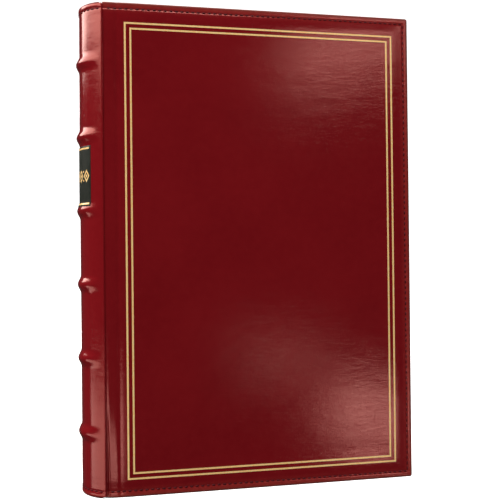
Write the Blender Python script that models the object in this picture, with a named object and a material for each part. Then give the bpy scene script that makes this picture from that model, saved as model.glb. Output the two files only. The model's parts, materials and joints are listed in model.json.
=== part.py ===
"""A bound stamp album, closed and standing on its tail edge.

The case is two padded boards and a rounded spine with raised bands, covered in bonded leather.
It holds a rounded block of guards, and each card leaf turns on a cloth hinge along that block.
The spine is at -X, the front cover faces -Y, and the origin is at the centre of the base.
"""

import math

import bmesh
import bpy
from mathutils import Vector

# Driving dimensions, in metres.
HEIGHT = 0.305
COVER_WIDTH = 0.2025
THICKNESS = 0.043
SPINE_BULGE = 0.0123
BAND_RISE = 0.002
COVER_THICKNESS = 0.007
HINGE_WIDTH = 0.009
SQUARE = 0.004
LEAF_COUNT = 24
LEAF_PITCH = 0.00115
LEAF_THICKNESS = 0.00055

# Sheet thicknesses, and the clearance that keeps neighbouring pieces apart.
LEATHER = 0.001
TURN_IN = 0.0008
BOARD = 0.002
SPINE_CARD = 0.0015
ENDPAPER = 0.0003
LINING = 0.0005
LABEL = 0.0004
GAP = 0.0003

# The raised bands: how many, where the first and last stand, and how wide each is.
BAND_COUNT = 6
FIRST_BAND = 0.127 * HEIGHT
LAST_BAND = 0.882 * HEIGHT
BAND_HALF_WIDTH = 0.005
BAND_FADE = 0.006
BAND_PROFILE = (-1, -0.7, -0.35, 0, 0.35, 0.7, 1)
THINNEST_BAND = 0.0001

# The label's lower edge laps onto the fourth band from the base, and its top stops short of the fifth.
LABEL_HEIGHT = 0.0375
LABEL_ARC = 0.034
LABEL_LAP = 0.0025

# The block of guards that the leaves hang on, and the bands at its head and tail.
BLOCK_BULGE = 0.0065
BLOCK_APEX = 0.0045
HEADBAND_HEIGHT = 0.0022
HEADBAND_DEPTH = 0.0022
HEADBAND_ROUND = 0.0012

TURN_IN_WIDTH = 0.015
COVER_EDGE_ROUND = 0.0022
LEAF_CORNER = 0.004
ARC_STEPS = 14

# Places that follow from those dimensions.
FOLD_X = (SPINE_BULGE + BAND_RISE - COVER_WIDTH) / 2
FORE_X = FOLD_X + COVER_WIDTH
HALF = THICKNESS / 2
INNER = HALF - COVER_THICKNESS
BOARD_X = FOLD_X + HINGE_WIDTH
HINGE_X = FOLD_X + HINGE_WIDTH / 2
HINGE_Y = HALF + GAP / 2
BLOCK_HALF = INNER - GAP
GUARD_X = BOARD_X + 0.0012
LEAF_X = GUARD_X + GAP
LEAF_LENGTH = FORE_X - SQUARE - LEAF_X
LEAF_HEIGHT = HEIGHT - 2 * SQUARE


def clear_scene():
    for old in list(bpy.data.objects):
        bpy.data.objects.remove(old)


def make_material(name, colour, roughness, metallic=0.0):
    made = bpy.data.materials.new(name)
    made.use_nodes = True
    shader = made.node_tree.nodes["Principled BSDF"]
    shader.inputs["Base Color"].default_value = (*colour, 1)
    shader.inputs["Roughness"].default_value = roughness
    shader.inputs["Metallic"].default_value = metallic
    return made


def add_object(name, mesh, material=None):
    made = bpy.data.objects.new(name, mesh)
    bpy.context.scene.collection.objects.link(made)
    if material and not mesh.materials:
        mesh.materials.append(material)
    return made


def mesh_from(name, shape):
    bmesh.ops.recalc_face_normals(shape, faces=shape.faces)
    mesh = bpy.data.meshes.new(name)
    shape.to_mesh(mesh)
    shape.free()
    return mesh


def hang(piece, axis):
    """Moves the piece's origin onto its joint's axis, and leaves its shape where it is."""
    if axis is not None:
        piece.data.transform(axis.matrix_world.inverted())
        piece.parent = axis
    return piece


def add_axis(name, x, y):
    """An empty on a vertical joint axis."""
    axis = bpy.data.objects.new(name, None)
    axis.location = (x, y, 0)
    bpy.context.scene.collection.objects.link(axis)
    bpy.context.view_layer.update()
    return axis


def block(low, high):
    """A box between two corners, as a bmesh."""
    shape = bmesh.new()
    bmesh.ops.create_cube(shape, size=1)
    for vert in shape.verts:
        vert.co = Vector(
            (a if c < 0 else b) for c, a, b in zip(vert.co, low, high)
        )
    return shape


def add_slab(name, x, depth, z, side, material, axis=None):
    """A flat sheet: x and z are ranges, and depth is its range inwards from the mid-plane's side."""
    ys = sorted(side * d for d in depth)
    shape = block((x[0], ys[0], z[0]), (x[1], ys[1], z[1]))
    return hang(add_object(name, mesh_from(name, shape), material), axis)


def add_cutter(name, low, high, cut):
    """A hidden box that a Boolean takes out of another object."""
    made = add_object(name, mesh_from(name, block(low, high)))
    made.hide_render = True
    made.display_type = "WIRE"
    modifier = cut.modifiers.new(name, "BOOLEAN")
    modifier.operation = "DIFFERENCE"
    modifier.solver = "EXACT"
    modifier.object = made
    return made


def arc_radius(chord, bulge):
    return (chord * chord / 4 + bulge * bulge) / (2 * bulge)


def arc_stations(centre_x, radius, limit, steps=ARC_STEPS):
    """Points and outward directions along a curve that bulges towards -X, from front to back."""
    stations = []
    for step in range(steps + 1):
        angle = limit * (2 * step / steps - 1)
        outward = Vector((-math.cos(angle), math.sin(angle)))
        stations.append((Vector((centre_x, 0)) + outward * radius, outward))
    return stations


def sweep(name, stations, section, material):
    """Carries a section along the stations. section(i) gives its outer and inner side, each a list of
    (offset outwards, z) with z rising."""
    shape = bmesh.new()
    rings = []
    for i, (base, outward) in enumerate(stations):
        ring = []
        for side in section(i):
            ring.append([
                shape.verts.new((base.x + outward.x * d, base.y + outward.y * d, z))
                for d, z in side
            ])
        rings.append(ring)
    for (outer, inner), (next_outer, next_inner) in zip(rings, rings[1:]):
        around = outer + inner[::-1]
        next_around = next_outer + next_inner[::-1]
        for k in range(len(around)):
            j = (k + 1) % len(around)
            shape.faces.new((around[k], around[j], next_around[j], next_around[k]))
    for outer, inner in (rings[0], rings[-1]):
        for k in range(len(outer) - 1):
            shape.faces.new((outer[k], outer[k + 1], inner[k + 1], inner[k]))
    return add_object(name, mesh_from(name, shape), material)


def plate(near, far, low, high):
    """The section of a sheet that runs straight up from low to high."""
    return [(far, low), (far, high)], [(near, low), (near, high)]


# The spine's outer face is part of a circle.
SPINE_RADIUS = arc_radius(THICKNESS, SPINE_BULGE)
SPINE_CENTRE = FOLD_X - SPINE_BULGE + SPINE_RADIUS
SPINE_LIMIT = math.asin(HALF / SPINE_RADIUS)
BLOCK_RADIUS = arc_radius(2 * BLOCK_HALF, BLOCK_BULGE)
BLOCK_CENTRE = FOLD_X - BLOCK_APEX + BLOCK_RADIUS
BLOCK_LIMIT = math.asin(BLOCK_HALF / BLOCK_RADIUS)


def band_heights():
    pitch = (LAST_BAND - FIRST_BAND) / (BAND_COUNT - 1)
    return [FIRST_BAND + pitch * i for i in range(BAND_COUNT)]


def band_rise(fraction, angle):
    """How far a band lifts the leather, at a fraction of its half width and an angle round the spine."""
    to_edge = (SPINE_LIMIT - abs(angle)) * SPINE_RADIUS
    fade = min(1, max(0, to_edge / BAND_FADE - 0.5))
    fade = fade * fade * (3 - 2 * fade)
    return BAND_RISE * fade * math.cos(math.pi / 2 * fraction) ** 2


def angle_at(step):
    return SPINE_LIMIT * (2 * step / ARC_STEPS - 1)


def spine_stations():
    """The spine's curve, with a flap at each end that reaches to the cover's hinge."""
    curve = arc_stations(SPINE_CENTRE, SPINE_RADIUS, SPINE_LIMIT)
    flap_x = HINGE_X - GAP / 2
    ends = []
    for side, (corner, outward) in ((-1, curve[0]), (1, curve[-1])):
        flat = Vector((0, side))
        mitre = (outward + flat).normalized()
        mitre = mitre / mitre.dot(flat)
        ends.append([(Vector((flap_x, side * HALF)), flat), (corner, mitre)])
    return [*ends[0], *curve[1:-1], *reversed(ends[1])]


def spine_leather_section(i):
    on_curve = 0 < i < ARC_STEPS + 2
    outer = [(0, 0)]
    for height in band_heights():
        for fraction in BAND_PROFILE:
            rise = band_rise(fraction, angle_at(i - 1)) if on_curve else 0
            outer.append((rise, height + fraction * BAND_HALF_WIDTH))
    outer.append((0, HEIGHT))
    return outer, [(rise - LEATHER, z) for rise, z in outer]


def add_raised_band(number, height, material):
    """The cord under the leather. It keeps clear of the leather above it and of the card below it."""
    steps = range(2, ARC_STEPS - 1)
    stations = arc_stations(SPINE_CENTRE, SPINE_RADIUS, SPINE_LIMIT)[steps[0] : steps[-1] + 1]

    def section(i):
        angle = angle_at(steps[i])
        outer = []
        for fraction in BAND_PROFILE[1:-1]:
            rise = max(THINNEST_BAND, band_rise(fraction, angle) - GAP)
            outer.append((rise - LEATHER, height + fraction * BAND_HALF_WIDTH))
        return outer, [(-LEATHER, z) for _, z in outer]

    return sweep(f"raised_band_{number}", stations, section, material)


def add_spine(materials):
    """Leather, card, cords and label, all on the body that the covers hang on."""
    sweep("spine_leather", spine_stations(), spine_leather_section, materials["leather"])
    card_limit = SPINE_LIMIT - (LEATHER + 2 * GAP) / SPINE_RADIUS
    card_out = -LEATHER - GAP
    sweep(
        "spine_card",
        arc_stations(SPINE_CENTRE, SPINE_RADIUS, card_limit),
        lambda i: plate(card_out - SPINE_CARD, card_out, LEATHER, HEIGHT - LEATHER),
        materials["board"],
    )
    for number, height in enumerate(band_heights(), 1):
        add_raised_band(number, height, materials["cord"])
    add_label(materials["label"])


def add_label(material):
    """A thin patch on the leather. Its lower edge follows the band that it laps onto."""
    band = band_heights()[3]
    low = band + LABEL_LAP
    fractions = [LABEL_LAP / BAND_HALF_WIDTH]
    fractions += [f for f in BAND_PROFILE if f > fractions[0]]
    inner = [(GAP + band_rise(f, 0), band + f * BAND_HALF_WIDTH) for f in fractions]
    inner.append((GAP, low + LABEL_HEIGHT))
    outer = [(d + LABEL, z) for d, z in inner]
    limit = LABEL_ARC / 2 / SPINE_RADIUS
    stations = arc_stations(SPINE_CENTRE, SPINE_RADIUS, limit, ARC_STEPS // 2)
    sweep("spine_label", stations, lambda i: (outer, inner), material)


def add_block(materials):
    """The guards, the cloth on their back, and the woven bands at head and tail."""
    low, high = SQUARE, HEIGHT - SQUARE
    curve = arc_stations(BLOCK_CENTRE, BLOCK_RADIUS, BLOCK_LIMIT)
    outline = [base for base, _ in curve]
    outline += [Vector((GUARD_X, BLOCK_HALF)), Vector((GUARD_X, -BLOCK_HALF))]
    shape = bmesh.new()
    base_face = shape.faces.new([shape.verts.new((p.x, p.y, low)) for p in outline])
    made = bmesh.ops.extrude_face_region(shape, geom=[base_face])
    lifted = [item for item in made["geom"] if isinstance(item, bmesh.types.BMVert)]
    bmesh.ops.translate(shape, vec=(0, 0, high - low), verts=lifted)
    add_object("guard_block", mesh_from("guard_block", shape), materials["card"])

    lining_limit = BLOCK_LIMIT - GAP / BLOCK_RADIUS
    sweep(
        "spine_lining",
        arc_stations(BLOCK_CENTRE, BLOCK_RADIUS, lining_limit),
        lambda i: plate(GAP, GAP + LINING, low, high),
        materials["cloth"],
    )
    for name, start in (("head_band", high + GAP), ("tail_band", low - GAP - HEADBAND_HEIGHT)):
        add_end_band(name, start, materials["silk"])


def add_end_band(name, start, material):
    """A woven band, rounded towards the spine, that lies along the end of the block."""
    rounds = [step / 4 for step in range(5)]

    def section(i):
        outer = []
        for part in rounds:
            bulge = HEADBAND_ROUND * math.sin(math.pi * part)
            outer.append((bulge - HEADBAND_ROUND, start + part * HEADBAND_HEIGHT))
        return outer, [(-HEADBAND_ROUND - HEADBAND_DEPTH, z) for _, z in outer]

    limit = BLOCK_LIMIT - 0.001 / BLOCK_RADIUS
    sweep(name, arc_stations(BLOCK_CENTRE, BLOCK_RADIUS, limit), section, material)


def rounded_cover(side):
    """The cover's outer shape, with its padded edges and fore corners rounded."""
    ys = sorted((side * INNER, side * HALF))
    shape = block((HINGE_X + GAP / 2, ys[0], 0), (FORE_X, ys[1], HEIGHT))

    def outside(vert):
        return abs(abs(vert.co.y) - HALF) < 1e-6

    def at_fore(vert):
        return vert.co.x > 0

    chosen = []
    for edge in shape.edges:
        a, b = edge.verts
        outer_edge = outside(a) and outside(b) and (at_fore(a) or at_fore(b))
        fore_corner = at_fore(a) and at_fore(b) and abs(a.co.z - b.co.z) < 1e-6
        if outer_edge or fore_corner:
            chosen.append(edge)
    bmesh.ops.bevel(
        shape, geom=chosen, offset=COVER_EDGE_ROUND, segments=3, profile=0.5, affect="EDGES"
    )
    return shape


def add_cover(prefix, side, materials):
    """One padded board: leather wrapped round foam and board, and an endpaper pasted inside."""
    axis = add_axis(f"{prefix}_hinge_axis", HINGE_X, side * HINGE_Y)
    name = f"{prefix}_leather"
    leather = add_object(name, mesh_from(name, rounded_cover(side)), materials["leather"])

    def cutter(part, x, depth, z):
        ys = sorted(side * d for d in depth)
        made = add_cutter(f"{prefix}_{part}", (x[0], ys[0], z[0]), (x[1], ys[1], z[1]), leather)
        return hang(made, axis)

    under = HALF - LEATHER
    past = 0.01
    cutter(
        "inside_cut",
        (BOARD_X - LEATHER, FORE_X - LEATHER),
        (INNER + TURN_IN, under),
        (LEATHER, HEIGHT - LEATHER),
    )
    cutter(
        "window_cut",
        (BOARD_X - LEATHER, FORE_X - TURN_IN_WIDTH),
        (INNER - past, INNER + 2 * TURN_IN),
        (TURN_IN_WIDTH, HEIGHT - TURN_IN_WIDTH),
    )
    cutter("hinge_cut", (FOLD_X - past, BOARD_X), (INNER - past, under), (-past, HEIGHT + past))
    hang(leather, axis)

    x = (BOARD_X + GAP, FORE_X - LEATHER - GAP)
    z = (LEATHER + GAP, HEIGHT - LEATHER - GAP)
    board_in = INNER + TURN_IN + GAP
    board_out = board_in + BOARD
    add_slab(f"{prefix}_board", x, (board_in, board_out), z, side, materials["board"], axis)
    foam = (board_out + GAP, under - GAP)
    add_slab(f"{prefix}_padding", x, foam, z, side, materials["foam"], axis)
    add_slab(
        f"{prefix}_pastedown",
        (BOARD_X + GAP, FORE_X - TURN_IN_WIDTH - GAP),
        (INNER, INNER + TURN_IN),
        (TURN_IN_WIDTH + GAP, HEIGHT - TURN_IN_WIDTH - GAP),
        side,
        materials["endpaper"],
        axis,
    )


def leaf_mesh(name, thickness):
    """A leaf with rounded fore corners. Its origin is on its hinge, at the front of its root edge."""
    corner_steps = 4
    outline = [(0, 0)]
    for centre_z, start in ((LEAF_CORNER, -90), (LEAF_HEIGHT - LEAF_CORNER, 0)):
        for step in range(corner_steps + 1):
            turn = math.radians(start + 90 * step / corner_steps)
            x = LEAF_LENGTH - LEAF_CORNER + LEAF_CORNER * math.cos(turn)
            outline.append((x, centre_z + LEAF_CORNER * math.sin(turn)))
    outline.append((0, LEAF_HEIGHT))
    shape = bmesh.new()
    front = shape.faces.new([shape.verts.new((x, 0, z)) for x, z in outline])
    made = bmesh.ops.extrude_face_region(shape, geom=[front])
    moved = [item for item in made["geom"] if isinstance(item, bmesh.types.BMVert)]
    bmesh.ops.translate(shape, vec=(0, thickness, 0), verts=moved)
    return mesh_from(name, shape)


def add_leaves(materials):
    """The card leaves, front to back, with a plain endpaper leaf before and after them."""
    card = leaf_mesh("leaf", LEAF_THICKNESS)
    for number in range(1, LEAF_COUNT + 1):
        middle = (number - (LEAF_COUNT + 1) / 2) * LEAF_PITCH
        leaf = add_object(f"leaf_{number:02d}", card, materials["card"])
        leaf.location = (LEAF_X, middle - LEAF_THICKNESS / 2, SQUARE)
    paper = leaf_mesh("flyleaf", ENDPAPER)
    front = add_object("front_flyleaf", paper, materials["endpaper"])
    front.location = (LEAF_X, -BLOCK_HALF, SQUARE)
    back = add_object("back_flyleaf", paper, materials["endpaper"])
    back.location = (LEAF_X, BLOCK_HALF, SQUARE)
    back.rotation_euler = (math.pi, 0, 0)
    back.location.z = HEIGHT - SQUARE


def shade_round_pieces():
    for piece in bpy.context.scene.objects:
        if piece.type == "MESH" and piece.name.startswith(("spine_", "raised_", "head_", "tail_")):
            piece.data.shade_smooth()
            piece.data.set_sharp_from_angle(angle=math.radians(35))


def build():
    clear_scene()
    materials = {
        "leather": make_material("red_leather", (0.20, 0.006, 0.010), 0.32),
        "board": make_material("grey_board", (0.42, 0.38, 0.32), 0.9),
        "foam": make_material("white_foam", (0.85, 0.84, 0.80), 0.95),
        "endpaper": make_material("ivory_endpaper", (0.80, 0.76, 0.66), 0.8),
        "cord": make_material("band_cord", (0.62, 0.52, 0.38), 0.9),
        "label": make_material("label_leather", (0.012, 0.018, 0.014), 0.35),
        "card": make_material("black_card", (0.018, 0.018, 0.020), 0.7),
        "cloth": make_material("lining_cloth", (0.72, 0.70, 0.64), 0.9),
        "silk": make_material("band_silk", (0.55, 0.42, 0.16), 0.5),
    }
    add_spine(materials)
    add_block(materials)
    add_cover("front", -1, materials)
    add_cover("back", 1, materials)
    add_leaves(materials)
    shade_round_pieces()


build()
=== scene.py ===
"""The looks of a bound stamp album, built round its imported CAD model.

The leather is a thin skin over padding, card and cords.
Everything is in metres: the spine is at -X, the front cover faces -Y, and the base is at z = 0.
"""

import json
import math

import bmesh
import bpy
import numpy as np
from mathutils import Euler, Matrix, Vector, noise


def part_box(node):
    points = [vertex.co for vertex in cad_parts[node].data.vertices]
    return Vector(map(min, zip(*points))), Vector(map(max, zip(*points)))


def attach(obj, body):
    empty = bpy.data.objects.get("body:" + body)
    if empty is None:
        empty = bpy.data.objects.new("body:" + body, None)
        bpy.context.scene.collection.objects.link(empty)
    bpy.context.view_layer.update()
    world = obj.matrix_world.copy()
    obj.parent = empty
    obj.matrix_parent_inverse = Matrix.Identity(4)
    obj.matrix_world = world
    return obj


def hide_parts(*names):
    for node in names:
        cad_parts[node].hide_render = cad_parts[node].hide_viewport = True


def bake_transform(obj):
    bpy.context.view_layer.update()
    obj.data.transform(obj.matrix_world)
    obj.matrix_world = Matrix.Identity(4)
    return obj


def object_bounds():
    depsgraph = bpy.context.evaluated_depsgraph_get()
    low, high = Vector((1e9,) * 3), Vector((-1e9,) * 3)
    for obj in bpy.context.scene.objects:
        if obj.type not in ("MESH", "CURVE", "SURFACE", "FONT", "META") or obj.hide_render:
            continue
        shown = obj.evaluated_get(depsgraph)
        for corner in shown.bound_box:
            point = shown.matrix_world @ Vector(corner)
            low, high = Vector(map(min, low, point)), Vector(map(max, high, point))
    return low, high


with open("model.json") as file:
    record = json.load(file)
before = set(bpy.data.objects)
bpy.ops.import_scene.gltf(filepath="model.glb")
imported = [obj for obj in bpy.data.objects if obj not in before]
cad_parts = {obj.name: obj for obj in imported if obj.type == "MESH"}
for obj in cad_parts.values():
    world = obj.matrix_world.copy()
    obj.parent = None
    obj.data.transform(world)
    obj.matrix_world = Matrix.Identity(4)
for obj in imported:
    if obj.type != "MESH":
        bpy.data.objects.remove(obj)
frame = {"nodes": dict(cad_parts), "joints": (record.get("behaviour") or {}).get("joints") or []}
CAD_LOW, CAD_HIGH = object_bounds()
MM = 0.001

# Places taken from the frame.
JOINTS = {joint["name"]: joint for joint in frame["joints"]}
GAP = 0.3 * MM
HEIGHT = CAD_HIGH.z
HALF = CAD_HIGH.y
FORE_X = CAD_HIGH.x
HINGE_X = JOINTS["front_cover_hinge"]["pos_m"][0]
BOARD_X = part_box("front_board")[0].x - GAP
FOLD_X = 2 * HINGE_X - BOARD_X
INNER = -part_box("front_leather")[1].y
BOARD_OUT = -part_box("front_board")[0].y
BLOCK_LOW, BLOCK_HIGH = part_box("guard_block")
BANDS = [sum(c.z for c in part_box(f"raised_band_{n}")) / 2 for n in range(1, 7)]
LABEL_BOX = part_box("spine_label")

# The spine's curve and its raised bands.
BAND_RISE = 2 * MM
BAND_HALF_WIDTH = 5.8 * MM
BAND_FADE = 20 * MM
SPINE_BULGE = FOLD_X - CAD_LOW.x - BAND_RISE
SPINE_RADIUS = (HALF**2 + SPINE_BULGE**2) / (2 * SPINE_BULGE)
SPINE_CENTRE = FOLD_X - SPINE_BULGE + SPINE_RADIUS
EDGE_ROLL = 0.9 * MM
ROLL_Y = HALF - EDGE_ROLL
SPINE_LIMIT = math.asin(ROLL_Y / (SPINE_RADIUS - EDGE_ROLL))
ROLL_X = SPINE_CENTRE - (SPINE_RADIUS - EDGE_ROLL) * math.cos(SPINE_LIMIT)

# The leather and what is done to it.
SKIN = 0.7 * MM
CAP_ROLL = 1.75 * MM
TURN_IN = 14.9 * MM
EDGE_OUT = 0.7 * MM
EDGE_IN = 0.8 * MM
CORNER_ROUND = 1.6 * MM
RIM_DEPTH = 0.25 * MM
SEAM_HEAD = 3.9 * MM
SEAM_TAIL = 4.0 * MM
SEAM_FORE = 3.5 * MM
SEAM_SPINE = 4.3 * MM
SEAM_DEPTH = 0.2 * MM
SEAM_WIDTH = 0.65 * MM
STITCH_PITCH = 3.5 * MM
STITCH_LENGTH = 2.3 * MM
THREAD = 0.40 * MM

# The gold frame: margins of the outer line's centre from the joint, fore edge, head and tail.
GOLD_MARGINS = (14.4 * MM, 12.1 * MM, 12.7 * MM, 11.2 * MM)
GOLD_STEP = 3.4 * MM
GOLD_WIDTH = 1.1 * MM
FOIL = 0.05 * MM


def smooth(value, low, high):
    part = np.clip((value - low) / (high - low), 0, 1)
    return part * part * (3 - 2 * part)


def soft_least(a, b, reach):
    """The smaller of two distances, with the corner between them rounded."""
    part = np.clip(0.5 + 0.5 * (b - a) / reach, 0, 1)
    return b * (1 - part) + a * part - reach * part * (1 - part)


def hump(value, width):
    return np.exp(-((value / width) ** 2))


def noise_at(x, z, length_x, length_z, seed):
    """Smooth noise from about -1 to 1 over arrays of places."""
    flat = [
        noise.noise(Vector((a / length_x, b / length_z, seed)))
        for a, b in zip(np.ravel(x), np.ravel(z))
    ]
    return np.array(flat).reshape(np.shape(x))


# ---------------------------------------------------------------- meshes


def make_mesh(name, points, faces, smooth_shade=True):
    mesh = bpy.data.meshes.new(name)
    mesh.from_pydata([tuple(map(float, p)) for p in points], [], faces)
    mesh.validate()
    if smooth_shade:
        mesh.shade_smooth()
    return mesh


def add_object(name, mesh, material):
    made = bpy.data.objects.new(name, mesh)
    bpy.context.scene.collection.objects.link(made)
    mesh.materials.clear()
    mesh.materials.append(material)
    return made


def apply_modifiers(obj):
    graph = bpy.context.evaluated_depsgraph_get()
    final = bpy.data.meshes.new_from_object(obj.evaluated_get(graph))
    obj.modifiers.clear()
    obj.data = final
    return obj


def thicken(obj, thickness, even=True):
    """Gives a sheet its thickness, on the side away from its normals."""
    solid = obj.modifiers.new("thickness", "SOLIDIFY")
    solid.thickness = thickness
    solid.offset = -1
    solid.use_even_offset = even
    solid.use_quality_normals = True
    return apply_modifiers(obj)


def mark(obj, name, values):
    layer = obj.data.attributes.new(name, "FLOAT", "POINT")
    layer.data.foreach_set("value", np.asarray(values, np.float32))


def grid_faces(columns, rows, start=0, flip=False):
    """Quads over columns x rows points, where a column's points follow each other."""
    faces = []
    for i in range(columns - 1):
        for j in range(rows - 1):
            a = start + i * rows + j
            face = (a, a + rows, a + rows + 1, a + 1)
            faces.append(face[::-1] if flip else face)
    return faces


def tube_faces(rings, sides, start=0, closed=False, caps=True):
    """Faces round rings of points. closed joins the last ring to the first."""
    faces = []
    for r in range(rings if closed else rings - 1):
        following = (r + 1) % rings
        for s in range(sides):
            t = (s + 1) % sides
            faces.append((
                start + r * sides + s,
                start + r * sides + t,
                start + following * sides + t,
                start + following * sides + s,
            ))
    if caps and not closed:
        faces.append(tuple(start + s for s in range(sides))[::-1])
        faces.append(tuple(start + (rings - 1) * sides + s for s in range(sides)))
    return faces


def face_outwards(mesh):
    """Turns a closed mesh's faces outwards."""
    shape = bmesh.new()
    shape.from_mesh(mesh)
    bmesh.ops.recalc_face_normals(shape, faces=shape.faces)
    shape.to_mesh(mesh)
    shape.free()
    return mesh


# ---------------------------------------------------------------- the cover's surface


def cover_depth(x, z):
    """How far the cover's leather lies below the album's outer face."""
    across = x - FOLD_X
    tail = 1 - smooth(z, 8 * MM, 72 * MM)
    joint = 0.30 * MM * (1 - smooth(across, 9 * MM, 17 * MM))
    valley = (0.10 + 0.75 * tail) * MM * hump(across - 1.45 * MM, (0.7 + 0.3 * tail) * MM)
    slope = 0.8 * MM * tail * (1 - np.clip((across - 2.6 * MM) / (5.6 * MM), 0, 1))
    groove = 0.16 * MM * hump(across - 9.3 * MM, 1.4 * MM)
    fore = FORE_X - x
    end = np.minimum(z, HEIGHT - z)
    edge = soft_least(fore, end, 5 * MM)
    rim = RIM_DEPTH * (1 - smooth(edge, 3.6 * MM, 11 * MM))
    seam_place = np.minimum(fore - SEAM_FORE, np.minimum(z - SEAM_TAIL, HEIGHT - z - SEAM_HEAD))
    seam = SEAM_DEPTH * hump(seam_place, SEAM_WIDTH)
    width, middle = (FORE_X - BOARD_X) / 2, (FORE_X + BOARD_X) / 2
    off_x, off_z = (x - middle) / width, (z - HEIGHT / 2) / (HEIGHT / 2)
    crown = 0.45 * MM * (0.55 * off_x**2 + 0.45 * off_z**2)
    inside = smooth(edge, 6 * MM, 22 * MM) * smooth(across, 10 * MM, 26 * MM)
    swell = 0.10 * MM * noise_at(x, z, 75 * MM, 60 * MM, 1.7)
    swell = swell + 0.022 * MM * noise_at(x, z, 26 * MM, 15 * MM, 8.2)
    return joint + valley + slope + groove + rim + seam + crown + (0.1 * MM + swell) * inside


def cover_point(x, z, side, lift=0.0):
    """Points on the cover's leather. side is -1 for the front cover and 1 for the back one."""
    x, z = np.asarray(x, float), np.asarray(z, float)
    y = side * (HALF - cover_depth(x, z) + lift)
    return np.stack([x, y, z], axis=-1)


def round_corners(x, z):
    """Pulls places in at the cover's fore corners, so that the outline turns in an arc."""
    for low_end in (True, False):
        from_end = z if low_end else HEIGHT - z
        a = np.clip((x - (FORE_X - CORNER_ROUND)) / CORNER_ROUND, 0, 1)
        b = np.clip((CORNER_ROUND - from_end) / CORNER_ROUND, 0, 1)
        inside = (a > 0) & (b > 0)
        new_a, new_b = a * np.sqrt(1 - b * b / 2), b * np.sqrt(1 - a * a / 2)
        x = np.where(inside, FORE_X - CORNER_ROUND + new_a * CORNER_ROUND, x)
        moved = CORNER_ROUND * (1 - new_b)
        z = np.where(inside, moved if low_end else HEIGHT - moved, z)
    return x, z


def spaced(low, high, step):
    return np.linspace(low, high, max(2, int(round((high - low) / step)) + 1))


def joined(*parts):
    values = np.concatenate(parts)
    keep = np.concatenate([[True], np.diff(values) > 1e-6])
    return values[keep]


def cover_rings(start_x, edge_x, edge_z, depth):
    """The rest of the cover's skin past its face: (x, z, depth) of each ring, round the edge
    and in to the end of the turn-in."""
    on_board = smooth(edge_x, BOARD_X - 0.8 * MM, BOARD_X + 0.8 * MM)
    full = depth + 2.3 * MM + (HALF - INNER - depth - 2.3 * MM) * on_board
    rows = []
    for turn in (22, 45, 68, 90):
        turn = math.radians(turn)
        rows.append((EDGE_OUT * (1 - math.sin(turn)), depth + EDGE_OUT * (1 - math.cos(turn))))
    wall_top, wall_end = depth + EDGE_OUT, full - EDGE_IN
    for part in (0.33, 0.67, 1):
        rows.append((0, wall_top + (wall_end - wall_top) * part))
    for turn in (30, 60, 90):
        turn = math.radians(turn)
        rows.append((EDGE_IN * (1 - math.cos(turn)), wall_end + EDGE_IN * math.sin(turn)))
    for inset in (3 * MM, 7 * MM, 11 * MM, TURN_IN):
        rows.append((inset, full))
    part_x = (edge_x - start_x) / (FORE_X - EDGE_OUT - start_x)
    part_z = (edge_z - EDGE_OUT) / (HEIGHT - 2 * EDGE_OUT)
    rings = []
    for inset, ring_depth in rows:
        x = start_x + part_x * (FORE_X - inset - start_x)
        z = inset + part_z * (HEIGHT - 2 * inset)
        rings.append((x, z, ring_depth))
    return rings


def cover_skin_mesh(name, side):
    start_x = FOLD_X + 0.9 * MM
    xs = joined(
        spaced(start_x, FOLD_X + 12 * MM, 0.45 * MM),
        spaced(FOLD_X + 12 * MM, FOLD_X + 24 * MM, 1.2 * MM),
        spaced(FOLD_X + 24 * MM, FORE_X - 16 * MM, 3 * MM),
        spaced(FORE_X - 16 * MM, FORE_X - 6 * MM, 1 * MM),
        spaced(FORE_X - 6 * MM, FORE_X - EDGE_OUT, 0.35 * MM),
    )
    half_z = joined(
        spaced(EDGE_OUT, 6.2 * MM, 0.36 * MM),
        spaced(6.2 * MM, 16 * MM, 1 * MM),
        spaced(16 * MM, HEIGHT / 2, 3 * MM),
    )
    zs = np.concatenate([half_z, (HEIGHT - half_z)[-2::-1]])
    columns, rows = len(xs), len(zs)
    grid_x, grid_z = np.meshgrid(xs, zs, indexing="ij")
    depth = cover_depth(grid_x, grid_z)

    index = np.arange(columns * rows).reshape(columns, rows)
    border = np.concatenate([index[:, 0], index[-1, 1:], index[-2::-1, -1]])
    layers = [(np.ravel(grid_x), np.ravel(grid_z), np.ravel(depth))]
    flat_x, flat_z, flat_depth = (layer[border] for layer in layers[0])
    layers += cover_rings(start_x, flat_x, flat_z, flat_depth)

    faces = grid_faces(columns, rows)
    previous, start = border, columns * rows
    for _ in layers[1:]:
        following = start + np.arange(len(border))
        for k in range(len(border) - 1):
            faces.append(tuple(int(v) for v in (
                previous[k + 1], previous[k], following[k], following[k + 1]
            )))
        previous, start = following, start + len(border)

    x = np.concatenate([layer[0] for layer in layers])
    z = np.concatenate([layer[1] for layer in layers])
    depth = np.concatenate([layer[2] for layer in layers])
    edge = np.minimum(FORE_X - x, np.minimum(z, HEIGHT - z))
    # Grows towards the fore edge, head and tail; the leather uses it for a worn brown rim that also carries
    # painted highlight.
    wear_and_painted_light = 1 - smooth(edge, 0, 7.5 * MM)
    x, z = round_corners(x, z)
    points = np.stack([x, side * (HALF - depth), z], axis=-1)
    if side > 0:
        faces = [face[::-1] for face in faces]
    return make_mesh(name, points, faces), wear_and_painted_light


def add_cover_skin(prefix, side, material):
    mesh, wear_and_painted_light = cover_skin_mesh(f"{prefix}_skin", side)
    skin = add_object(f"{prefix}_skin", mesh, material)
    mark(skin, "wear_and_painted_light", wear_and_painted_light)
    thicken(skin, SKIN)
    skin.data.set_sharp_from_angle(angle=math.radians(60))
    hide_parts(f"{prefix}_leather")
    bend_with_cover(skin)
    return skin


def bend_with_cover(obj):
    """Bakes the piece's placing into its mesh."""
    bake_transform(obj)


# ---------------------------------------------------------------- the spine's surface


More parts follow.
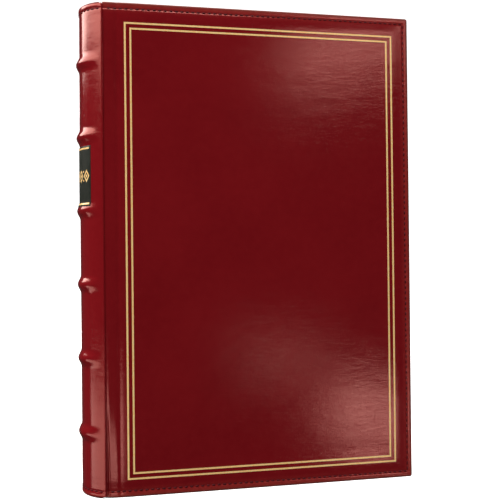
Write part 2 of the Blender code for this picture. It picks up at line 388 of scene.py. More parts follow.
def band_lift(angle, z):
    """How far the bands lift the leather, at an angle round the spine and a height."""
    to_edge = (SPINE_LIMIT - np.abs(angle)) * SPINE_RADIUS
    fade = smooth(to_edge, 0, BAND_FADE)
    lift = np.zeros(np.broadcast(angle, z).shape)
    for height in BANDS:
        part = np.clip((z - height) / BAND_HALF_WIDTH, -1, 1)
        lift = lift + fade * BAND_RISE * np.cos(math.pi / 2 * part) ** 2
    return lift


def spine_lift(angle, z):
    """Everything that moves the spine's leather off its plain curve."""
    end = np.minimum(z, HEIGHT - z)
    seam = -SEAM_DEPTH * hump(end - SEAM_SPINE, SEAM_WIDTH)
    cap = 0.35 * MM * (1 - smooth(end, 2.4 * MM, 4.4 * MM))
    cap = cap * (1 - smooth(np.abs(angle), SPINE_LIMIT * 0.8, SPINE_LIMIT))
    swell = 0.10 * MM * noise_at(angle * SPINE_RADIUS, z, 14 * MM, 30 * MM, 3.1)
    pull = -0.12 * MM * (1 - smooth(end, 5 * MM, 22 * MM))
    return band_lift(angle, z) + seam + cap + swell + pull - 0.1 * MM


def spine_stations():
    """The curve from the front joint to the back one, as (x, y, direction angle, place angle, roll)."""
    around = []
    wall = HALF - 2.4 * MM
    roll = np.radians(np.linspace(180, math.degrees(SPINE_LIMIT), 9))
    around.append((ROLL_X + EDGE_ROLL, -wall, -math.pi, -SPINE_LIMIT, 0.3))
    for k, turn in enumerate(roll):
        x = ROLL_X - EDGE_ROLL * math.cos(turn)
        y = -ROLL_Y - EDGE_ROLL * math.sin(turn)
        around.append((x, y, -turn, -SPINE_LIMIT, 0.3 + 0.25 * k / (len(roll) - 1)))
    steps = 72
    for k in range(1, steps):
        angle = SPINE_LIMIT * (2 * k / steps - 1)
        x = SPINE_CENTRE - SPINE_RADIUS * math.cos(angle)
        y = SPINE_RADIUS * math.sin(angle)
        near = float(smooth((SPINE_LIMIT - abs(angle)) * SPINE_RADIUS, 0, 4 * MM))
        around.append((x, y, angle, angle, 0.55 + 0.45 * near))
    for x, y, direction, place, size in around[: len(roll) + 1][::-1]:
        around.append((x, -y, -direction, -place, size))
    return np.array(around)


def spine_skin_mesh():
    stations = spine_stations()
    x, y, direction, place, size = stations.T
    fine = joined(
        spaced(CAP_ROLL, 6 * MM, 0.3 * MM),
        spaced(6 * MM, HEIGHT - 6 * MM, 0.9 * MM),
        spaced(HEIGHT - 6 * MM, HEIGHT - CAP_ROLL, 0.3 * MM),
    )
    on_curve = (np.abs(direction) < SPINE_LIMIT).astype(float)
    normal = np.stack([-np.cos(direction), np.sin(direction)], axis=-1)
    angle_grid, z_grid = np.meshgrid(place, fine, indexing="ij")
    lift = spine_lift(angle_grid, z_grid)
    edge_fade = smooth((SPINE_LIMIT - np.abs(place)) * SPINE_RADIUS, 0, 3 * MM) * on_curve
    deepest = np.minimum(lift, 0)
    lift = (lift - deepest) * edge_fade[:, None] + deepest * (0.35 + 0.65 * edge_fade[:, None])

    columns = []
    for depth_row, z_row in end_rings(size):
        columns.append((-depth_row + lift[:, :1].ravel(), z_row))
    columns = columns[::-1]
    for j, z in enumerate(fine):
        columns.append((lift[:, j], np.full(len(place), z)))
    for depth_row, z_row in end_rings(size):
        columns.append((-depth_row + lift[:, -1:].ravel(), HEIGHT - z_row))
    drop = 1.1 * MM * (1 - smooth(size, 0.55, 0.9)) + 0.9 * MM * (1 - smooth(size, 0.3, 0.56))
    points = []
    for i in range(len(place)):
        for offset, z in columns:
            height = min(max(z[i], drop[i]), HEIGHT - drop[i])
            points.append((
                x[i] + normal[i, 0] * offset[i], y[i] + normal[i, 1] * offset[i], height
            ))
    # Grows towards the head and tail caps; the leather uses it for a worn brown that also carries painted
    # highlight.
    wear_and_painted_light = [
        float(1 - smooth(min(z[i], HEIGHT - z[i]), 0.5 * MM, 4 * MM))
        for i in range(len(place))
        for _, z in columns
    ]
    faces = grid_faces(len(place), len(columns), flip=True)
    return make_mesh("spine_skin", points, faces), wear_and_painted_light


def end_rings(size):
    """The cap at the tail: leather that turns in over the card's end. The head's is its mirror."""
    rows = []
    for turn in np.radians(np.linspace(0, 180, 11)[1:]):
        depth = CAP_ROLL * size * (1 - math.cos(turn))
        rows.append((depth, np.full(len(size), CAP_ROLL * (1 - math.sin(turn)))))
    for z in (5 * MM, 9 * MM, 12 * MM):
        rows.append((2 * CAP_ROLL * size, np.full(len(size), z)))
    return rows


def add_spine_skin(material):
    mesh, wear_and_painted_light = spine_skin_mesh()
    skin = add_object("spine_skin", mesh, material)
    mark(skin, "wear_and_painted_light", wear_and_painted_light)
    thicken(skin, SKIN, even=False)
    skin.data.set_sharp_from_angle(angle=math.radians(60))
    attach(skin, "spine")
    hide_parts("spine_leather")


def spine_point(angle, z, lift=0.0):
    angle, z = np.asarray(angle, float), np.asarray(z, float)
    radius = SPINE_RADIUS + spine_lift(angle, z) + lift
    return np.stack(
        [SPINE_CENTRE - radius * np.cos(angle), radius * np.sin(angle), z + 0 * angle], axis=-1
    )


# ---------------------------------------------------------------- thread and gold


def stitch_row(path, outward, first=0.0):
    """Stitches along a line of points. outward holds the line's normals."""
    path, outward = np.asarray(path), np.asarray(outward)
    along = np.concatenate([[0], np.cumsum(np.linalg.norm(np.diff(path, axis=0), axis=1))])

    def at(place):
        spot = np.array([np.interp(place, along, path[:, k]) for k in range(3)])
        up = np.array([np.interp(place, along, outward[:, k]) for k in range(3)])
        return spot, up / np.linalg.norm(up)

    count = int((along[-1] - first) // STITCH_PITCH)
    pitch = (along[-1] - first) / max(count, 1)
    points, faces, sides = [], [], 6
    for n in range(count):
        middle = first + (n + 0.5) * pitch
        start = len(points)
        profile = ((-0.5, -0.25, 0.5), (-0.4, 0.05, 0.9), (-0.15, 0.22, 1), (0.15, 0.22, 1),
                   (0.4, 0.05, 0.9), (0.5, -0.25, 0.5))
        for part, height, wide in profile:
            place = middle + part * STITCH_LENGTH
            spot, up = at(place)
            ahead, _ = at(place + 0.1 * MM)
            behind, _ = at(place - 0.1 * MM)
            tangent = (ahead - behind) / np.linalg.norm(ahead - behind)
            across = np.cross(tangent, up)
            centre = spot + up * height * MM
            for s in range(sides):
                turn = 2 * math.pi * s / sides
                ring = across * math.cos(turn) + up * math.sin(turn)
                points.append(centre + ring * THREAD * wide)
        faces += tube_faces(len(profile), sides, start)
    return points, faces


def seam_mesh(name, rows):
    points, faces = [], []
    for row_points, row_faces in rows:
        faces += [tuple(v + len(points) for v in face) for face in row_faces]
        points += list(row_points)
    return face_outwards(make_mesh(name, points, faces))


def add_cover_seam(prefix, side, material):
    left, right = FOLD_X + 3 * MM, FORE_X - SEAM_FORE
    low, high = SEAM_TAIL, HEIGHT - SEAM_HEAD
    corners = [(left, low), (right, low), (right, high), (left, high)]
    rows = []
    for (x0, z0), (x1, z1) in zip(corners, corners[1:]):
        count = 2 + int(math.hypot(x1 - x0, z1 - z0) / (1.5 * MM))
        path = cover_point(np.linspace(x0, x1, count), np.linspace(z0, z1, count), side)
        rows.append(stitch_row(path, np.tile((0, side, 0), (count, 1))))
    seam = add_object(f"{prefix}_stitching", seam_mesh(f"{prefix}_stitching", rows), material)
    bend_with_cover(seam)


def add_spine_seam(material):
    rows = []
    angles = np.linspace(-SPINE_LIMIT * 0.97, SPINE_LIMIT * 0.97, 60)
    outward = np.stack([-np.cos(angles), np.sin(angles), 0 * angles], axis=-1)
    for z in (SEAM_SPINE, HEIGHT - SEAM_SPINE):
        rows.append(stitch_row(spine_point(angles, np.full(60, z)), outward))
    seam = add_object("spine_stitching", seam_mesh("spine_stitching", rows), material)
    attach(seam, "spine")


def rectangle(left, right, low, high, step=2.5 * MM):
    """Places round a rectangle, the same number whatever its size."""
    across = 2 + int((FORE_X - FOLD_X) / step)
    up = 2 + int(HEIGHT / step)
    x = np.concatenate([
        np.linspace(left, right, across)[:-1],
        np.full(up - 1, right),
        np.linspace(right, left, across)[:-1],
        np.full(up - 1, left),
    ])
    z = np.concatenate([
        np.full(across - 1, low),
        np.linspace(low, high, up)[:-1],
        np.full(across - 1, high),
        np.linspace(high, low, up)[:-1],
    ])
    return x, z


def gold_frame_mesh(name, side):
    points, faces = [], []
    joint, fore, head, tail = GOLD_MARGINS
    for number in range(2):
        inset = number * GOLD_STEP
        loops = []
        for edge, lift in ((0.5, -FOIL), (0.5, FOIL), (-0.5, FOIL), (-0.5, -FOIL)):
            out = inset - edge * GOLD_WIDTH
            x, z = rectangle(
                FOLD_X + joint + out, FORE_X - fore - out, tail + out, HEIGHT - head - out
            )
            loops.append(cover_point(x, z, side, lift))
        rings = np.stack(loops, axis=1)
        faces += tube_faces(len(rings), 4, len(points), closed=True)
        points += list(rings.reshape(-1, 3))
    return face_outwards(make_mesh(name, points, faces, smooth_shade=False))


def add_gold_frame(prefix, side, material):
    gold = add_object(f"{prefix}_gold_frame", gold_frame_mesh(f"{prefix}_gold_frame", side), material)
    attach(gold, f"{prefix}_cover")


# ---------------------------------------------------------------- the spine's label

LABEL_LOW = LABEL_BOX[0].z
LABEL_HIGH = LABEL_BOX[1].z
LABEL_LIMIT = 17.0 * MM / SPINE_RADIUS
LABEL_THICKNESS = 0.45 * MM


def label_height(angle, z):
    """The label's face, with its edges pressed down into the leather."""
    side = (LABEL_LIMIT - np.abs(angle)) * SPINE_RADIUS
    end = np.minimum(z - LABEL_LOW, LABEL_HIGH - z)
    return LABEL_THICKNESS * (0.35 + 0.65 * smooth(soft_least(side, end, 1 * MM), 0, 0.9 * MM))


def patch(name, place_a, place_z, top, bottom, smooth_shade=True):
    """A closed sheet over a grid of places on the spine, between two heights above the leather."""
    columns, rows = place_a.shape
    upper = spine_point(place_a, place_z, top).reshape(-1, 3)
    lower = spine_point(place_a, place_z, bottom).reshape(-1, 3)
    count = columns * rows
    faces = grid_faces(columns, rows, 0) + grid_faces(columns, rows, count, flip=True)
    index = np.arange(count).reshape(columns, rows)
    border = np.concatenate([index[:, 0], index[-1, 1:], index[-2::-1, -1], index[0, -2:0:-1]])
    for k, a in enumerate(border):
        b = border[(k + 1) % len(border)]
        faces.append((int(a), int(b), int(b) + count, int(a) + count))
    return face_outwards(make_mesh(name, np.concatenate([upper, lower]), faces, smooth_shade))


def add_label(leather, gold):
    angles = LABEL_LIMIT * np.linspace(-1, 1, 49)
    heights = joined(
        spaced(LABEL_LOW, LABEL_LOW + 1 * MM, 0.2 * MM),
        spaced(LABEL_LOW + 1 * MM, LABEL_HIGH - 1 * MM, 0.9 * MM),
        spaced(LABEL_HIGH - 1 * MM, LABEL_HIGH, 0.2 * MM),
    )
    place_a, place_z = np.meshgrid(angles, heights, indexing="ij")
    top = label_height(place_a, place_z)
    mesh = patch("label", place_a, place_z, top, -0.1 * MM)
    label = add_object("label", mesh, leather)
    label.data.set_sharp_from_angle(angle=math.radians(50))
    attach(label, "spine")
    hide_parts("spine_label")

    pieces = []
    for low in (LABEL_LOW + 1.1 * MM, LABEL_HIGH - 2.1 * MM):
        line_z = np.linspace(low, low + 1 * MM, 3)
        a, z = np.meshgrid(angles[1:-1] * 0.985, line_z, indexing="ij")
        pieces.append(foil_patch(a, z))
    middle = (LABEL_LOW + LABEL_HIGH) / 2
    count, width, tall = 5, 5.6 * MM, 8 * MM
    pitch = 6.7 * MM
    for n in range(count):
        centre = (n - (count - 1) / 2) * pitch / SPINE_RADIUS
        pieces.append(lozenge(centre, middle, width, tall, 0.62))
        pieces.append(lozenge(centre, middle, width * 0.3, tall * 0.3, 0.0))
    for n in range(count - 1):
        centre = (n + 1 - count / 2) * pitch / SPINE_RADIUS
        for shift in (-1, 1):
            pieces.append(lozenge(centre, middle + shift * 2.7 * MM, 1.5 * MM, 1.5 * MM, 0.0))
    points, faces = [], []
    for piece_points, piece_faces in pieces:
        faces += [tuple(v + len(points) for v in face) for face in piece_faces]
        points += list(piece_points)
    foil = face_outwards(make_mesh("label_gold", points, faces, smooth_shade=False))
    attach(add_object("label_gold", foil, gold), "spine")


def label_point(angle, z, lift):
    return spine_point(angle, z, label_height(np.asarray(angle), np.asarray(z)) + lift)


def foil_patch(a, z):
    """Points and faces of a thin foil over a grid of places on the label."""
    columns, rows = a.shape
    count = columns * rows
    upper = label_point(a, z, FOIL).reshape(-1, 3)
    lower = label_point(a, z, -FOIL).reshape(-1, 3)
    faces = grid_faces(columns, rows, 0) + grid_faces(columns, rows, count, flip=True)
    index = np.arange(count).reshape(columns, rows)
    border = np.concatenate([index[:, 0], index[-1, 1:], index[-2::-1, -1], index[0, -2:0:-1]])
    for k, p in enumerate(border):
        q = border[(k + 1) % len(border)]
        faces.append((int(p), int(q), int(q) + count, int(p) + count))
    return np.concatenate([upper, lower]), faces


def lozenge(angle, z, width, tall, hole):
    """A foil lozenge on the label. hole is the share of it that is open in the middle."""
    steps = 8
    outline = []
    corners = [(width / 2, 0), (0, tall / 2), (-width / 2, 0), (0, -tall / 2)]
    for (x0, y0), (x1, y1) in zip(corners, corners[1:] + corners[:1]):
        for k in range(steps):
            part = k / steps
            outline.append((x0 + (x1 - x0) * part, y0 + (y1 - y0) * part))
    outline = np.array(outline)
    around = len(outline)
    scales = (1, max(hole, 0.02))
    rings = []
    for scale, lift in ((scales[0], -FOIL), (scales[0], FOIL), (scales[1], FOIL), (scales[1], -FOIL)):
        places = outline * scale
        rings.append(label_point(angle + places[:, 0] / SPINE_RADIUS, z + places[:, 1], lift))
    points = np.stack(rings, axis=1).reshape(-1, 3)
    return points, tube_faces(around, 4, 0, closed=True)


# ---------------------------------------------------------------- under the leather


def add_padding(prefix, side, material):
    """Foam between the leather and the board: crowned, and thin towards its edges."""
    low_x, high_x = BOARD_X + 1.5 * MM, FORE_X - 2.4 * MM
    low_z, high_z = 2.4 * MM, HEIGHT - 2.4 * MM
    xs = joined(
        spaced(low_x, low_x + 6 * MM, 0.8 * MM),
        spaced(low_x + 6 * MM, high_x - 10 * MM, 5 * MM),
        spaced(high_x - 10 * MM, high_x, 0.8 * MM),
    )
    half_z = joined(spaced(low_z, 12 * MM, 0.8 * MM), spaced(12 * MM, HEIGHT / 2, 5 * MM))
    zs = np.concatenate([half_z, (HEIGHT - half_z)[-2::-1]])
    grid_x, grid_z = np.meshgrid(xs, zs, indexing="ij")
    edge = np.minimum(
        np.minimum(grid_x - low_x, high_x - grid_x), np.minimum(grid_z - low_z, high_z - grid_z)
    )
    bottom = HALF - BOARD_OUT - 0.25 * MM
    round_off = 0.8 * MM * (1 - np.sqrt(np.clip(edge / (1.6 * MM), 0, 1)))
    top = np.minimum(cover_depth(grid_x, grid_z) + SKIN + 0.35 * MM + round_off, bottom - 0.3 * MM)
    columns, rows = grid_x.shape
    count = columns * rows
    upper = np.stack([grid_x, side * (HALF - top), grid_z], axis=-1).reshape(-1, 3)
    lower = np.stack([grid_x, side * (HALF - bottom) + 0 * grid_x, grid_z], axis=-1).reshape(-1, 3)
    faces = grid_faces(columns, rows) + grid_faces(columns, rows, count, flip=True)
    index = np.arange(count).reshape(columns, rows)
    border = np.concatenate([index[:, 0], index[-1, 1:], index[-2::-1, -1], index[0, -2:0:-1]])
    for k, a in enumerate(border):
        b = border[(k + 1) % len(border)]
        faces.append((int(a), int(b), int(b) + count, int(a) + count))
    name = f"{prefix}_pad"
    pad = add_object(name, face_outwards(make_mesh(name, np.concatenate([upper, lower]), faces)), material)
    pad.data.set_sharp_from_angle(angle=math.radians(50))
    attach(pad, f"{prefix}_cover")
    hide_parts(f"{prefix}_padding")


def add_joint_lining(prefix, side, material):
    """The paper inside the joint: a strip on the block's face stays with the spine, and a sheet
    runs on from it along the leather and onto the board."""
    on_block = BLOCK_HIGH.y + 0.12 * MM
    inside = HALF - 3.1 * MM
    root = [(FOLD_X + 8.5 * MM, on_block), (FOLD_X + 2.5 * MM, on_block)]
    sheet = [
        (FOLD_X + 2.2 * MM, on_block + 0.2 * MM),
        (FOLD_X + 2.2 * MM, inside - 1.4 * MM),
        (FOLD_X + 3.0 * MM, inside),
        (FOLD_X + 5.6 * MM, inside),
        (BOARD_X - 1.1 * MM, inside),
        (BOARD_X - 0.3 * MM, inside - 0.9 * MM),
        (BOARD_X - 0.1 * MM, INNER + 0.6 * MM),
        (BOARD_X + 0.6 * MM, INNER - 0.1 * MM),
        (BOARD_X + 14 * MM, INNER - 0.1 * MM),
    ]
    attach(lining_strip(f"{prefix}_root_lining", root, prefix, side, material), "spine")
    bend_with_cover(lining_strip(f"{prefix}_joint_lining", sheet, prefix, side, material))


def lining_strip(name, stops, prefix, side, material):
    """A paper strip through these points, as tall as the pasted-down endpaper."""
    line = rounded_line(stops)
    low, high = (corner.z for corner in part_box(f"{prefix}_pastedown"))
    heights = spaced(low, high, 8 * MM)
    points = [(x, side * y, z) for x, y in line for z in heights]
    faces = grid_faces(len(line), len(heights), flip=side > 0)
    lining = add_object(name, make_mesh(name, points, faces), material)
    solid = lining.modifiers.new("thickness", "SOLIDIFY")
    solid.thickness = 0.18 * MM
    solid.offset = 1
    apply_modifiers(lining)
    lining.data.set_sharp_from_angle(angle=math.radians(50))
    return lining


def rounded_line(stops, passes=3):
    """The line through these points with its corners cut, three times over."""
    line = [np.array(stop) for stop in stops]
    for _ in range(passes):
        cut = [line[0]]
        for a, b in zip(line, line[1:]):
            cut += [a * 0.75 + b * 0.25, a * 0.25 + b * 0.75]
        line = [*cut, line[-1]]
    return line


# ---------------------------------------------------------------- the block and the leaves

LEAVES = sorted(name for name in frame["nodes"] if name.startswith("leaf_"))
LEAF_BOXES = {name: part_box(name) for name in LEAVES}


def add_guards(material):
    """The block of folded guards. Its front face has a rounded ridge between each two leaves."""
    back = []
    apex = BLOCK_LOW.x
    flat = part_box("guard_block")
    half = BLOCK_HIGH.y
    shoulder = FOLD_X + 2.0 * MM
    bulge = shoulder - apex
    radius = (half**2 + bulge**2) / (2 * bulge)
    limit = math.asin(half / radius)
    for k in range(41):
        angle = limit * (1 - 2 * k / 40)
        groove = 0.12 * MM * abs(math.sin(math.pi * 12.5 * k / 20))
        reach = radius - groove
        back.append((apex + radius - reach * math.cos(angle), reach * math.sin(angle)))
    face = []
    middles = [(box[0].y + box[1].y) / 2 for box in LEAF_BOXES.values()]
    steps = 6
    stops = [-half, *middles, half]
    for low, high in zip(stops, stops[1:]):
        for k in range(steps):
            part = k / steps
            dip = 0.55 * MM * (1 - math.sin(math.pi * part) ** 0.7)
            face.append((flat[1].x - dip, low + (high - low) * part))
    face.append((flat[1].x - 0.55 * MM, half))
    outline = back + face
    levels = spaced(flat[0].z, flat[1].z, 12 * MM)
    points = [(x, y, z) for z in levels for x, y in outline]
    faces = tube_faces(len(levels), len(outline))
    name = "guards"
    guards = add_object(name, face_outwards(make_mesh(name, points, faces)), material)
    guards.data.set_sharp_from_angle(angle=math.radians(50))
    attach(guards, "spine")
    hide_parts("guard_block")


def add_end_bands(material):
    """The woven bands at head and tail: a cord wound with thread, which shows as ribs."""
    for name, node in (("head_weave", "head_band"), ("tail_weave", "tail_band")):
        low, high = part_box(node)
        half = high.y
        thick = (high.z - low.z) / 2
        bulge = high.x - low.x - 2 * thick
        radius = (half**2 + bulge**2) / (2 * bulge)
        limit = math.asin(min(1, half / radius))
        centre = low.x + thick + radius
        rings, sides = 241, 10
        points = []
        for r in range(rings):
            angle = limit * (2 * r / (rings - 1) - 1)
            rib = 1 - 0.12 * abs(math.cos(math.pi * r * 60 / (rings - 1)))
            end = min(r, rings - 1 - r) / 4
            size = thick * rib * (1 if end >= 1 else 0.5 + 0.5 * math.sqrt(max(0, 2 * end - end * end)))
            out = Vector((-math.cos(angle), math.sin(angle), 0))
            middle = Vector((centre, 0, (low.z + high.z) / 2)) + out * radius
            for s in range(sides):
                turn = 2 * math.pi * s / sides
                slant = Vector((0, 0, 1)) * math.sin(turn) + out * math.cos(turn)
                points.append(middle + slant * size)
        mesh = face_outwards(make_mesh(name, points, tube_faces(rings, sides)))
        band = add_object(name, mesh, material)
        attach(band, "spine")
        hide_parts(node)


STRIP_COUNT = 9


def strip_mesh(low, high):
    """The clear strips of one leaf, front and back: each is sealed along its foot, and its free
    edge at the top stands off the card a little."""
    margin_root, margin_fore, margin_end = 9 * MM, 5 * MM, 7 * MM
    left, right = low.x + margin_root, high.x - margin_fore
    bottom, top = low.z + margin_end, high.z - margin_end
    pitch = (top - bottom) / STRIP_COUNT
    tall = pitch - 3.2 * MM
    film = 0.04 * MM
    profile = ((0, 0.015), (0.03, 0.02), (0.3, 0.035), (0.65, 0.05), (0.94, 0.07), (1, 0.12))
    xs = np.linspace(left, right, 9)
    points, faces = [], []
    for side, face_y in ((-1, low.y), (1, high.y)):
        for n in range(STRIP_COUNT):
            foot = bottom + n * pitch
            start = len(points)
            for x in xs:
                bow = 1 - abs(2 * (x - left) / (right - left) - 1) ** 4
                outer = [(part, off * (0.7 + 0.3 * bow) * MM + film) for part, off in profile]
                inner = [(part, off * (0.7 + 0.3 * bow) * MM) for part, off in profile[::-1]]
                for part, off in outer + inner:
                    points.append((x, face_y + side * off, foot + part * tall))
            faces += tube_faces(len(xs), 2 * len(profile), start)
    return face_outwards(make_mesh("strips", points, faces))


def tape_mesh(low, high):
    """The cloth that hinges a leaf, folded round its root."""
    reach, cloth = 6.5 * MM, 0.09 * MM
    section = [(reach, cloth), (reach * 0.5, cloth), (0.25 * MM, cloth), (0.02 * MM, 0.02 * MM)]
    outline = [(low.x + x, high.y + y) for x, y in section]
    outline += [(low.x + x, low.y - y) for x, y in section[::-1]]
    outline += [(low.x + reach, low.y - 0.01 * MM), (low.x + reach, high.y + 0.01 * MM)]
    levels = spaced(low.z + 3 * MM, high.z - 3 * MM, 20 * MM)
    points = [(x, y, z) for z in levels for x, y in outline]
    return face_outwards(make_mesh("tape", points, tube_faces(len(levels), len(outline)), False))


def add_leaf_fittings(film, cloth):
    """Clear strips and a cloth hinge on every leaf. The meshes are shared."""
    first_low, first_high = LEAF_BOXES[LEAVES[0]]
    strips, tape = strip_mesh(first_low, first_high), tape_mesh(first_low, first_high)
    for name in LEAVES:
        shift = LEAF_BOXES[name][0] - first_low
        for kind, mesh, material in (("strips", strips, film), ("tape", tape, cloth)):
            piece = bpy.data.objects.new(f"{name}_{kind}", mesh)
            bpy.context.scene.collection.objects.link(piece)
            if not mesh.materials:
                mesh.materials.append(material)
            piece.location = shift
            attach(piece, name)


# ---------------------------------------------------------------- materials


def node(tree, kind, inputs=None, **settings):
    """A new shader node. An input may be a value or another node's socket."""
    made = tree.nodes.new(kind)
    for key, value in settings.items():
        setattr(made, key, value)
    for key, value in (inputs or {}).items():
        if isinstance(value, bpy.types.NodeSocket):
            tree.links.new(value, made.inputs[key])
        else:
            made.inputs[key].default_value = value
    return made


def start_material(name, **values):
    """A material, its node tree and its shader, with these values on the shader's sockets."""
    made = bpy.data.materials.new(name)
    made.use_nodes = True
    tree = made.node_tree
    shader = tree.nodes["Principled BSDF"]
    for key, value in values.items():
        shader.inputs[key.replace("_", " ")].default_value = value
    return made, tree, shader


def places(tree, scale=(1, 1, 1)):
    """Object coordinates in metres, stretched by scale."""
    coordinate = node(tree, "ShaderNodeTexCoord")
    return node(
        tree, "ShaderNodeMapping", {"Vector": coordinate.outputs["Object"], "Scale": scale}
    ).outputs["Vector"]


def noise_node(tree, vector, scale, detail=3.0, rough=0.5, distortion=0.0):
    return node(
        tree,
        "ShaderNodeTexNoise",
        {"Vector": vector, "Scale": scale, "Detail": detail, "Roughness": rough,
         "Distortion": distortion},
    ).outputs["Fac"]


def ramp(tree, factor, *stops):
    """A colour ramp through (place, colour) stops. A colour may be a single grey value."""
    made = node(tree, "ShaderNodeValToRGB", {"Fac": factor})
    while len(made.color_ramp.elements) < len(stops):
        made.color_ramp.elements.new(0.5)
    for element, (place, colour) in zip(made.color_ramp.elements, stops):
        element.position = place
        element.color = (*colour, 1) if isinstance(colour, tuple) else (colour,) * 3 + (1,)
    return made.outputs["Color"]


def mix(tree, factor, a, b, blend="MIX"):
    made = node(tree, "ShaderNodeMix", data_type="RGBA", blend_type=blend)
    for index, value in ((0, factor), (6, a), (7, b)):
        if isinstance(value, bpy.types.NodeSocket):
            tree.links.new(value, made.inputs[index])
        else:
            made.inputs[index].default_value = (*value, 1) if isinstance(value, tuple) else value
    return made.outputs[2]


def maths(tree, operation, a, b=0.0):
    made = tree.nodes.new("ShaderNodeMath")
    made.operation = operation
    for index, value in enumerate((a, b)):
        if isinstance(value, bpy.types.NodeSocket):
            tree.links.new(value, made.inputs[index])
        else:
            made.inputs[index].default_value = value
    return made.outputs[0]


def bump(tree, height, distance, strength=1.0, under=None):
    made = node(tree, "ShaderNodeBump", {"Height": height, "Distance": distance, "Strength": strength})
    if under:
        tree.links.new(under, made.inputs["Normal"])
    return made.outputs["Normal"]


def leather_material():
    """Bonded leather with a red lacquer: fine grain, level wrinkles, and a lighter brown rim that is partly
    wear and partly painted highlight, with a dark brown line at the very edge.
    """
    made, tree, shader = start_material(
        "red_bonded_leather", IOR=1.5, Specular_IOR_Level=0.9, Specular_Tint=(1.0, 0.36, 0.29, 1),
        Coat_Weight=0.12, Coat_Roughness=0.1, Coat_IOR=1.5,
    )
    plain = places(tree)
    broad = noise_node(tree, plain, 18, 3)
    mottle = noise_node(tree, plain, 260, 4, 0.6)
    base = ramp(tree, broad, (0.3, (0.160, 0.0032, 0.0062)), (0.7, (0.190, 0.0048, 0.0080)))
    base = mix(tree, ramp(tree, mottle, (0.35, 0.0), (0.75, 0.35)), base, (0.215, 0.007, 0.010))
    wear_and_painted_light = node(tree, "ShaderNodeAttribute", attribute_name="wear_and_painted_light").outputs["Fac"]
    # Towards the rim the red is mixed with a lighter brown: partly wear, partly a painted highlight that
    # lifts the rim where its slope turns away from the lamps.
    scuff_and_painted_light = maths(tree, "MULTIPLY", wear_and_painted_light, ramp(tree, mottle, (0.3, 0.6), (0.7, 1.0)))
    base = mix(tree, maths(tree, "MULTIPLY", scuff_and_painted_light, 0.85), base, (0.36, 0.034, 0.028))
    edge = maths(tree, "POWER", wear_and_painted_light, 9)
    base = mix(tree, maths(tree, "MULTIPLY", edge, 0.8), base, (0.075, 0.014, 0.008))
    tree.links.new(base, shader.inputs["Base Color"])
    rough = ramp(tree, mottle, (0.3, 0.09), (0.7, 0.15))
    rough = maths(tree, "ADD", rough, maths(tree, "MULTIPLY", edge, 0.35))
    tree.links.new(rough, shader.inputs["Roughness"])

    grain = node(
        tree, "ShaderNodeTexVoronoi", {"Vector": places(tree, (1, 1, 1.25)), "Scale": 1500.0},
        feature="DISTANCE_TO_EDGE",
    ).outputs["Distance"]
    wrinkles = noise_node(tree, places(tree, (100, 100, 650)), 1.0, 4, 0.65, 0.8)
    pores = noise_node(tree, plain, 2600, 2)
    lumps = noise_node(tree, places(tree, (55, 55, 130)), 1.0, 2)
    surface = bump(tree, lumps, 0.15 * MM, 0.5)
    surface = bump(tree, wrinkles, 0.055 * MM, 0.8, surface)
    surface = bump(tree, ramp(tree, grain, (0.0, 0.0), (0.22, 1.0)), 0.012 * MM, 0.4, surface)
    surface = bump(tree, pores, 0.008 * MM, 0.4, surface)
    tree.links.new(surface, shader.inputs["Normal"])
    tree.links.new(surface, shader.inputs["Coat Normal"])
    return made


def label_material():
    made, tree, shader = start_material(
        "label_leather", Coat_Weight=0.04, Coat_Roughness=0.25, IOR=1.4, Specular_IOR_Level=0.2
    )
    plain = places(tree)
    cloud = noise_node(tree, plain, 300, 4)
    tree.links.new(
        ramp(tree, cloud, (0.3, (0.007, 0.010, 0.007)), (0.7, (0.018, 0.022, 0.016))),
        shader.inputs["Base Color"],
    )
    tree.links.new(ramp(tree, cloud, (0.3, 0.38), (0.7, 0.55)), shader.inputs["Roughness"])
    grain = node(tree, "ShaderNodeTexVoronoi", {"Vector": plain, "Scale": 1300.0}).outputs["Distance"]
    tree.links.new(bump(tree, grain, 0.03 * MM, 0.6), shader.inputs["Normal"])
    return made


def gold_material():
    """Stamped foil: bright, a little rough, and thin where the leather's grain breaks it."""
    made, tree, shader = start_material("gold_foil", Metallic=0.15, IOR=1.5)
    fine = noise_node(tree, places(tree), 900, 3)
    tree.links.new(
        ramp(tree, fine, (0.3, (1.0, 0.56, 0.17)), (0.65, (1.0, 0.74, 0.34))),
        shader.inputs["Base Color"],
    )
    tree.links.new(ramp(tree, fine, (0.3, 0.42), (0.7, 0.25)), shader.inputs["Roughness"])
    tree.links.new(bump(tree, fine, 0.03 * MM, 0.6), shader.inputs["Normal"])
    return made


def thread_material():
    """Waxed thread with a fine twist."""
    made, tree, shader = start_material("maroon_thread", IOR=1.4, Specular_IOR_Level=0.25)
    twist = node(
        tree, "ShaderNodeTexWave", {"Vector": places(tree, (1, 1, 1)), "Scale": 1100.0},
        bands_direction="DIAGONAL",
    ).outputs["Fac"]
    tree.links.new(
        ramp(tree, twist, (0.2, (0.048, 0.002, 0.005)), (0.8, (0.105, 0.005, 0.010))),
        shader.inputs["Base Color"],
    )
    tree.links.new(ramp(tree, twist, (0, 0.6), (1, 0.45)), shader.inputs["Roughness"])
    tree.links.new(bump(tree, twist, 0.05 * MM, 0.6), shader.inputs["Normal"])
    return made


def paper_material(name, dark, light, roughness, fibre=420.0):
    """Paper or card: faint clouds and fibres."""
    made, tree, shader = start_material(name, Roughness=roughness, IOR=1.45)
    cloud = noise_node(tree, places(tree), 120, 5, 0.65)
    fibres = noise_node(tree, places(tree, (fibre, fibre * 2.2, fibre * 2.2)), 1.0, 3, 0.6, 0.8)
    both = maths(tree, "ADD", maths(tree, "MULTIPLY", cloud, 0.6), maths(tree, "MULTIPLY", fibres, 0.4))
    tree.links.new(ramp(tree, both, (0.35, dark), (0.65, light)), shader.inputs["Base Color"])
    tree.links.new(bump(tree, fibres, 0.03 * MM, 0.5), shader.inputs["Normal"])
    return made


